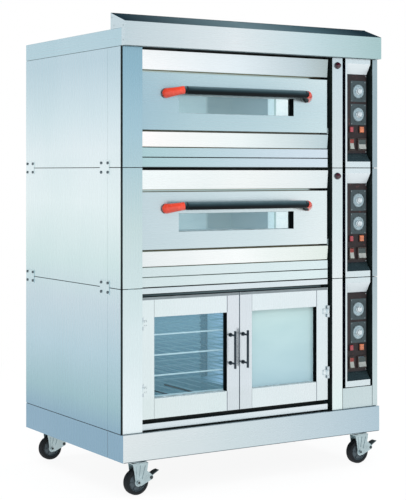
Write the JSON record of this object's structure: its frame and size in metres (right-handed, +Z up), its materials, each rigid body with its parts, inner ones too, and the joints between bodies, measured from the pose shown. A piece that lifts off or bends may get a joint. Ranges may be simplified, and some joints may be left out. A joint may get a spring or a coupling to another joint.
{
  "type": "deck oven",
  "caption": "Stacked electric deck oven: two baking decks with drop-down glazed doors over a glazed proofer cabinet, control column at the right, sloped smoke hood, on casters.",
  "frame": {"origin": "on the floor under the middle of the whole outline, door handles, hood and caster pedals included", "axes": "+Z up, -Y towards the person in front of the doors, +X to the right seen from the front"},
  "size_m": [1.2714, 0.945, 1.852],
  "materials": {
    "steel_panel": "brushed stainless sheet",
    "steel_front": "brushed stainless sheet",
    "inner_steel": "dark heat-proof paint",
    "liner_steel": "plain stainless sheet",
    "zinc": "zinc plate",
    "control_plate": "dark coated plate",
    "dial_plate": "satin plate with scale",
    "red_lens": "translucent plastic",
    "switch_frame": "moulded plastic",
    "hearth": "matt plate",
    "element": "heat-tinted sheath",
    "insulation": "mineral wool",
    "wire": "bright wire",
    "control_gear": "moulded plastic",
    "door_glass": "clear toughened glass",
    "handle_black": "heat-proof plastic",
    "handle_red": "heat-proof plastic",
    "knob": "satin knob",
    "lamp_switch": "moulded plastic",
    "power_switch": "moulded plastic",
    "tyre": "rubber tread",
    "pedal": "dark paint",
    "door_handle": "satin bar",
    "hood": "brushed stainless sheet"
  },
  "bodies": {
    "cabinet": {"base_skirt": "steel_front", "inner_frame": "inner_steel", "caster_plates": "zinc", "side_panels": "steel_panel", "back_panels": "steel_panel", "front_columns": "steel_panel", "control_fascias": "steel_front", "control_plates": "control_plate", "dial_plates": "dial_plate", "indicator_lenses": "red_lens", "switch_frames": "switch_frame", "deck_front_panels": "steel_front", "baking_chambers": "liner_steel", "hearth_plates": "hearth", "heating_elements": "element", "insulation": "insulation", "proofer_liner": "liner_steel", "proofer_front_frame": "steel_front", "proofer_shelves": "wire", "joining_plates": "steel_panel", "top_cap": "steel_panel", "hood": "hood", "rear_fittings": "zinc", "control_gear": "control_gear"},
    "upper_deck_door": {"upper_door_shell": "steel_front", "upper_door_glass": "door_glass", "upper_handle_bar": "handle_black", "upper_handle_ends": "handle_red"},
    "lower_deck_door": {"lower_door_shell": "steel_front", "lower_door_glass": "door_glass", "lower_handle_bar": "handle_black", "lower_handle_ends": "handle_red"},
    "left_proofer_leaf": {"left_proofer_door": "steel_panel", "left_proofer_glass": "door_glass", "left_proofer_handle": "door_handle"},
    "right_proofer_leaf": {"right_proofer_door": "steel_panel", "right_proofer_glass": "door_glass", "right_proofer_handle": "door_handle"},
    "proofer_top_knob_body": {"proofer_top_knob": "knob"},
    "proofer_bottom_knob_body": {"proofer_bottom_knob": "knob"},
    "proofer_lamp_switch_body": {"proofer_lamp_switch": "lamp_switch"},
    "proofer_power_switch_body": {"proofer_power_switch": "power_switch"},
    "lower_top_knob_body": {"lower_top_knob": "knob"},
    "lower_bottom_knob_body": {"lower_bottom_knob": "knob"},
    "lower_lamp_switch_body": {"lower_lamp_switch": "lamp_switch"},
    "lower_power_switch_body": {"lower_power_switch": "power_switch"},
    "upper_top_knob_body": {"upper_top_knob": "knob"},
    "upper_bottom_knob_body": {"upper_bottom_knob": "knob"},
    "upper_lamp_switch_body": {"upper_lamp_switch": "lamp_switch"},
    "upper_power_switch_body": {"upper_power_switch": "power_switch"},
    "front_left_swivel": {"front_left_fork": "zinc"},
    "front_left_roller": {"front_left_wheel": "tyre"},
    "front_left_brake": {"front_left_pedal": "pedal"},
    "front_right_swivel": {"front_right_fork": "zinc"},
    "front_right_roller": {"front_right_wheel": "tyre"},
    "front_right_brake": {"front_right_pedal": "pedal"},
    "rear_left_swivel": {"rear_left_fork": "zinc"},
    "rear_left_roller": {"rear_left_wheel": "tyre"},
    "rear_right_swivel": {"rear_right_fork": "zinc"},
    "rear_right_roller": {"rear_right_wheel": "tyre"}
  },
  "joints": [
    {"name": "upper_deck_door_hinge", "type": "hinge", "parent": "cabinet", "child": "upper_deck_door", "pos_m": [-0.09267, -0.388, 1.411], "axis": [1, 0, 0], "range_deg": [0, 90]},
    {"name": "lower_deck_door_hinge", "type": "hinge", "parent": "cabinet", "child": "lower_deck_door", "pos_m": [-0.09267, -0.388, 0.949], "axis": [1, 0, 0], "range_deg": [0, 90]},
    {"name": "left_proofer_door_hinge", "type": "hinge", "parent": "cabinet", "child": "left_proofer_leaf", "pos_m": [-0.53367, -0.401, 0.52], "axis": [0, 0, -1], "range_deg": [0, 110]},
    {"name": "right_proofer_door_hinge", "type": "hinge", "parent": "cabinet", "child": "right_proofer_leaf", "pos_m": [0.35333, -0.401, 0.52], "axis": [0, 0, 1], "range_deg": [0, 110]},
    {"name": "proofer_top_knob_turn", "type": "hinge", "parent": "cabinet", "child": "proofer_top_knob_body", "pos_m": [0.52433, -0.395, 0.659], "axis": [0, 1, 0], "range_deg": [0, 300]},
    {"name": "proofer_bottom_knob_turn", "type": "hinge", "parent": "cabinet", "child": "proofer_bottom_knob_body", "pos_m": [0.52433, -0.395, 0.561], "axis": [0, 1, 0], "range_deg": [0, 300]},
    {"name": "proofer_lamp_switch_rock", "type": "hinge", "parent": "cabinet", "child": "proofer_lamp_switch_body", "pos_m": [0.48533, -0.391, 0.434], "axis": [1, 0, 0], "range_deg": [0, 16]},
    {"name": "proofer_power_switch_rock", "type": "hinge", "parent": "cabinet", "child": "proofer_power_switch_body", "pos_m": [0.54033, -0.391, 0.434], "axis": [1, 0, 0], "range_deg": [0, 16]},
    {"name": "lower_top_knob_turn", "type": "hinge", "parent": "cabinet", "child": "lower_top_knob_body", "pos_m": [0.52433, -0.395, 1.121], "axis": [0, 1, 0], "range_deg": [0, 300]},
    {"name": "lower_bottom_knob_turn", "type": "hinge", "parent": "cabinet", "child": "lower_bottom_knob_body", "pos_m": [0.52433, -0.395, 1.023], "axis": [0, 1, 0], "range_deg": [0, 300]},
    {"name": "lower_lamp_switch_rock", "type": "hinge", "parent": "cabinet", "child": "lower_lamp_switch_body", "pos_m": [0.48533, -0.391, 0.896], "axis": [1, 0, 0], "range_deg": [0, 16]},
    {"name": "lower_power_switch_rock", "type": "hinge", "parent": "cabinet", "child": "lower_power_switch_body", "pos_m": [0.54033, -0.391, 0.896], "axis": [1, 0, 0], "range_deg": [0, 16]},
    {"name": "upper_top_knob_turn", "type": "hinge", "parent": "cabinet", "child": "upper_top_knob_body", "pos_m": [0.52433, -0.395, 1.583], "axis": [0, 1, 0], "range_deg": [0, 300]},
    {"name": "upper_bottom_knob_turn", "type": "hinge", "parent": "cabinet", "child": "upper_bottom_knob_body", "pos_m": [0.52433, -0.395, 1.485], "axis": [0, 1, 0], "range_deg": [0, 300]},
    {"name": "upper_lamp_switch_rock", "type": "hinge", "parent": "cabinet", "child": "upper_lamp_switch_body", "pos_m": [0.48533, -0.391, 1.358], "axis": [1, 0, 0], "range_deg": [0, 16]},
    {"name": "upper_power_switch_rock", "type": "hinge", "parent": "cabinet", "child": "upper_power_switch_body", "pos_m": [0.54033, -0.391, 1.358], "axis": [1, 0, 0], "range_deg": [0, 16]},
    {"name": "front_left_swivel_turn", "type": "hinge", "parent": "cabinet", "child": "front_left_swivel", "pos_m": [-0.53067, -0.36, 0.12], "axis": [0, 0, 1], "continuous": true},
    {"name": "front_left_wheel_spin", "type": "hinge", "parent": "front_left_swivel", "child": "front_left_roller", "pos_m": [-0.54067, -0.36, 0.05], "axis": [0, 1, 0], "continuous": true},
    {"name": "front_left_brake_press", "type": "hinge", "parent": "front_left_swivel", "child": "front_left_brake", "pos_m": [-0.48367, -0.36, 0.064], "axis": [0, 1, 0], "range_deg": [0, 14]},
    {"name": "front_right_swivel_turn", "type": "hinge", "parent": "cabinet", "child": "front_right_swivel", "pos_m": [0.54933, -0.36, 0.12], "axis": [0, 0, 1], "continuous": true},
    {"name": "front_right_wheel_spin", "type": "hinge", "parent": "front_right_swivel", "child": "front_right_roller", "pos_m": [0.53933, -0.36, 0.05], "axis": [0, 1, 0], "continuous": true},
    {"name": "front_right_brake_press", "type": "hinge", "parent": "front_right_swivel", "child": "front_right_brake", "pos_m": [0.59633, -0.36, 0.064], "axis": [0, 1, 0], "range_deg": [0, 14]},
    {"name": "rear_left_swivel_turn", "type": "hinge", "parent": "cabinet", "child": "rear_left_swivel", "pos_m": [-0.53067, 0.4, 0.12], "axis": [0, 0, 1], "continuous": true},
    {"name": "rear_left_wheel_spin", "type": "hinge", "parent": "rear_left_swivel", "child": "rear_left_roller", "pos_m": [-0.54067, 0.4, 0.05], "axis": [0, 1, 0], "continuous": true},
    {"name": "rear_right_swivel_turn", "type": "hinge", "parent": "cabinet", "child": "rear_right_swivel", "pos_m": [0.54933, 0.4, 0.12], "axis": [0, 0, 1], "continuous": true},
    {"name": "rear_right_wheel_spin", "type": "hinge", "parent": "rear_right_swivel", "child": "rear_right_roller", "pos_m": [0.53933, 0.4, 0.05], "axis": [0, 1, 0], "continuous": true}
  ]
}
